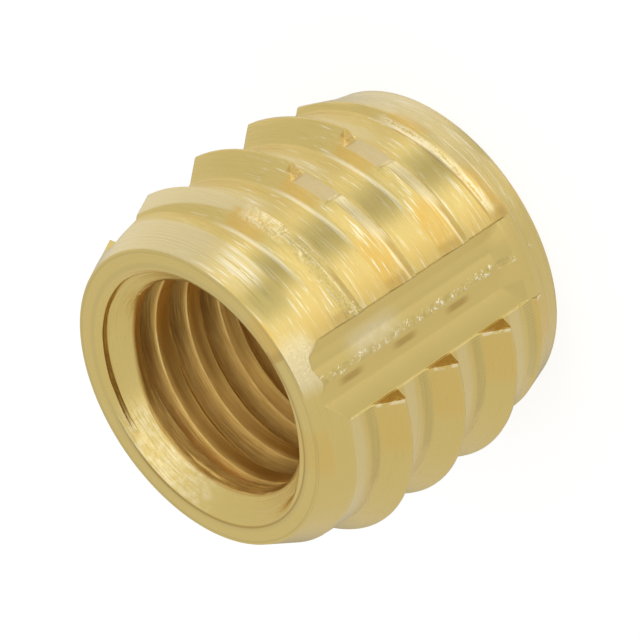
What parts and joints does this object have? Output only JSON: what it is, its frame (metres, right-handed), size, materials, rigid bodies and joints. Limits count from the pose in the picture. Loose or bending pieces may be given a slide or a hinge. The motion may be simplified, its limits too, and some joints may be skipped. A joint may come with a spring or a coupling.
{
  "type": "threaded insert",
  "caption": "Self-tapping brass insert: screws into plastic or wood by its coarse, fluted outer thread and gives it a metal M5 screw thread.",
  "frame": {"origin": "on the axis, in the plane of the rear face, so the insert stands on its rear end", "axes": "+Z along the axis towards the mouth, where the screw enters; +X is the side from which the crest height is counted"},
  "size_m": [0.0074, 0.0073, 0.0061],
  "materials": {
    "brass": "turned free-cutting brass, bright, with fine tool lines around the axis"
  },
  "bodies": {
    "root": {"insert_body": "brass"}
  },
  "joints": []
}
